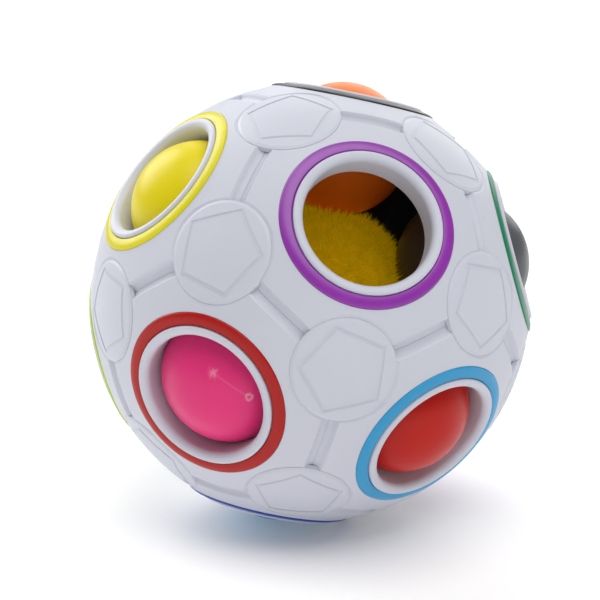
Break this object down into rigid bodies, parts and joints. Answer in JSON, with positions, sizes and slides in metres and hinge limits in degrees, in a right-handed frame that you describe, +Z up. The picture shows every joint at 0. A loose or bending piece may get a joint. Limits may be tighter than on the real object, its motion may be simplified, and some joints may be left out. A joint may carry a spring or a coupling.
{
  "type": "rainbow ball puzzle",
  "caption": "Hollow white sphere with round holes in coloured rings, seating coloured balls pressed outward by a soft core; one hole is empty, so balls can be moved.",
  "frame": {"origin": "centre of the hollow sphere, which is also the centre of the bounding box", "axes": "+Z up as the ball lies on a table, blue-ringed hole underneath; -Z through the table_rest mount; -Y towards the viewer who sees the empty purple-ringed hole at front upper right; +X to that viewer's right"},
  "size_m": [0.0708, 0.0702, 0.0706],
  "materials": {
    "white_shell": "satin moulded",
    "white_caps": "satin moulded",
    "ring_black": "satin moulded",
    "ring_blue": "satin moulded",
    "ring_brown": "satin moulded",
    "ring_green": "satin moulded",
    "ring_light_blue": "satin moulded",
    "ring_lime": "satin moulded",
    "ring_orange": "satin moulded",
    "ring_pink": "satin moulded",
    "ring_purple": "satin moulded",
    "ring_red": "satin moulded",
    "ring_white": "satin moulded",
    "ring_yellow": "satin moulded",
    "ball_yellow": "satin moulded",
    "ball_pink": "satin moulded",
    "ball_red": "satin moulded",
    "ball_black": "satin moulded",
    "ball_orange": "satin moulded",
    "ball_purple": "satin moulded",
    "ball_light_blue": "satin moulded",
    "ball_green": "satin moulded",
    "ball_lime": "satin moulded",
    "ball_brown": "satin moulded",
    "ball_blue": "satin moulded",
    "plush_core": "short yellow pile"
  },
  "bodies": {
    "shell": {"face_panel_black": "white_shell", "face_panel_blue": "white_shell", "face_panel_brown": "white_shell", "face_panel_green": "white_shell", "face_panel_light_blue": "white_shell", "face_panel_lime": "white_shell", "face_panel_orange": "white_shell", "face_panel_pink": "white_shell", "face_panel_purple": "white_shell", "face_panel_red": "white_shell", "face_panel_white": "white_shell", "face_panel_yellow": "white_shell", "corner_cap_01": "white_caps", "corner_cap_02": "white_caps", "corner_cap_03": "white_caps", "corner_cap_04": "white_caps", "corner_cap_05": "white_caps", "corner_cap_06": "white_caps", "corner_cap_07": "white_caps", "corner_cap_08": "white_caps", "corner_cap_09": "white_caps", "corner_cap_10": "white_caps", "corner_cap_11": "white_caps", "corner_cap_12": "white_caps", "corner_cap_13": "white_caps", "corner_cap_14": "white_caps", "corner_cap_15": "white_caps", "corner_cap_16": "white_caps", "corner_cap_17": "white_caps", "corner_cap_18": "white_caps", "corner_cap_19": "white_caps", "corner_cap_20": "white_caps", "ring_black": "ring_black", "ring_blue": "ring_blue", "ring_brown": "ring_brown", "ring_green": "ring_green", "ring_light_blue": "ring_light_blue", "ring_lime": "ring_lime", "ring_orange": "ring_orange", "ring_pink": "ring_pink", "ring_purple": "ring_purple", "ring_red": "ring_red", "ring_white": "ring_white", "ring_yellow": "ring_yellow", "fluffy_core": "plush_core"},
    "ball_yellow": {"ball_yellow": "ball_yellow"},
    "ball_pink": {"ball_pink": "ball_pink"},
    "ball_red": {"ball_red": "ball_red"},
    "ball_black": {"ball_black": "ball_black"},
    "ball_orange": {"ball_orange": "ball_orange"},
    "ball_brown": {"ball_brown": "ball_brown"},
    "ball_light_blue": {"ball_light_blue": "ball_light_blue"},
    "ball_blue": {"ball_blue": "ball_blue"},
    "ball_lime": {"ball_lime": "ball_lime"},
    "ball_purple": {"ball_purple": "ball_purple"},
    "ball_green": {"ball_green": "ball_green"}
  },
  "joints": [
    {"name": "press_ball_pink", "type": "slide", "parent": "shell", "child": "ball_pink", "axis": [0.4711, 0.8528, 0.2254], "range_m": [0, 0.0045], "stiffness_N_per_m": 200, "springref_m": -0.001, "deforming": ["fluffy_core"]},
    {"name": "press_ball_red", "type": "slide", "parent": "shell", "child": "ball_red", "axis": [-0.5417, 0.7011, 0.4637], "range_m": [0, 0.0045], "stiffness_N_per_m": 200, "springref_m": -0.001, "deforming": ["fluffy_core"]},
    {"name": "press_ball_black", "type": "slide", "parent": "shell", "child": "ball_black", "axis": [-0.9589, 0.0774, -0.2729], "range_m": [0, 0.0045], "stiffness_N_per_m": 200, "springref_m": -0.001, "deforming": ["fluffy_core"]},
    {"name": "press_ball_orange", "type": "slide", "parent": "shell", "child": "ball_orange", "axis": [-0.2039, -0.1563, -0.9664], "range_m": [0, 0.0045], "stiffness_N_per_m": 200, "springref_m": -0.001, "deforming": ["fluffy_core"]},
    {"name": "press_ball_brown", "type": "slide", "parent": "shell", "child": "ball_brown", "axis": [0.9589, -0.0774, 0.2729], "range_m": [0, 0.0045], "stiffness_N_per_m": 200, "springref_m": -0.001, "deforming": ["fluffy_core"]},
    {"name": "press_ball_light_blue", "type": "slide", "parent": "shell", "child": "ball_light_blue", "axis": [0.2039, 0.1563, 0.9664], "range_m": [0, 0.0045], "stiffness_N_per_m": 200, "springref_m": -0.001, "deforming": ["fluffy_core"]},
    {"name": "press_ball_blue", "type": "slide", "parent": "shell", "child": "ball_blue", "axis": [-0.4711, -0.8528, -0.2254], "range_m": [0, 0.0045], "stiffness_N_per_m": 200, "springref_m": -0.001, "deforming": ["fluffy_core"]},
    {"name": "press_ball_lime", "type": "slide", "parent": "shell", "child": "ball_lime", "axis": [0.5417, -0.7011, -0.4637], "range_m": [0, 0.0045], "stiffness_N_per_m": 200, "springref_m": -0.001, "deforming": ["fluffy_core"]},
    {"name": "press_ball_purple", "type": "slide", "parent": "shell", "child": "ball_purple", "axis": [-0.6798, -0.3229, 0.6584], "range_m": [0, 0.0045], "stiffness_N_per_m": 200, "springref_m": -0.001, "deforming": ["fluffy_core"]},
    {"name": "press_ball_green", "type": "slide", "parent": "shell", "child": "ball_green", "axis": [0.2476, -0.804, 0.5406], "range_m": [0, 0.0045], "stiffness_N_per_m": 200, "springref_m": -0.001, "deforming": ["fluffy_core"]},
    {"name": "move_ball_yellow", "type": "hinge", "parent": "shell", "child": "ball_yellow", "pos_m": [-0.00822, -0.02144, 0.02281], "axis": [-0.3968, -0.5932, -0.7005], "range_deg": [0, 100.59], "deforming": ["fluffy_core"]}
  ]
}
